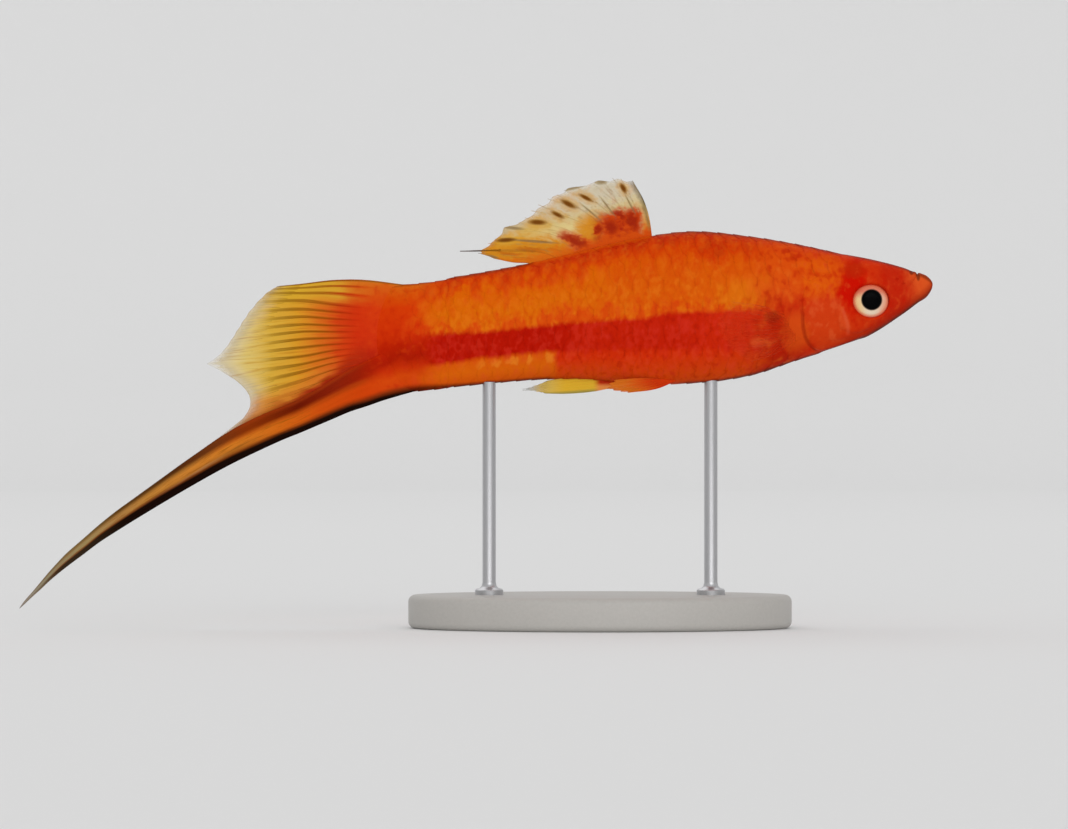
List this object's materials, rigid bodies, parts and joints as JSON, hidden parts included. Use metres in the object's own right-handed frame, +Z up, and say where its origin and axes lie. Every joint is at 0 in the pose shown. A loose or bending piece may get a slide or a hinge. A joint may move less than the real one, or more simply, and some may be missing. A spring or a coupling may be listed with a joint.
{
  "type": "swordtail fish",
  "caption": "Life-size still model of a male swordtail fish with ridged fin rays and a long sword below the tail fin, held up by short rods on a flat oval base.",
  "frame": {"origin": "centre of the flat underside of the stand's base", "axes": "+X from the tail towards the head, +Z up, and the fish's right flank faces -Y"},
  "size_m": [0.1096, 0.03, 0.0546],
  "materials": {
    "fish_skin": "satin, small scales, orange above and dark red along the flank",
    "fin_membrane": "thin and clear, yellow with darker rays",
    "sword": "orange with a red upper stripe and a black lower edge",
    "eye": "wet gloss, cream ring round a black pupil",
    "stand_base": "matt warm grey paint",
    "stand_rod": "satin steel"
  },
  "bodies": {
    "root": {"head": "fish_skin", "lower_jaw": "fish_skin", "gill_cover_left": "fish_skin", "gill_cover_right": "fish_skin", "torso": "fish_skin", "tail_stalk": "fish_skin", "eye_left": "eye", "eye_right": "eye", "dorsal_fin": "fin_membrane", "tail_fan": "fin_membrane", "sword": "sword", "gonopodium": "fin_membrane", "pelvic_fin_left": "fin_membrane", "pelvic_fin_right": "fin_membrane", "pectoral_fin_left": "fin_membrane", "pectoral_fin_right": "fin_membrane", "stand_base": "stand_base", "stand_rod_front": "stand_rod", "stand_rod_rear": "stand_rod"}
  },
  "joints": []
}
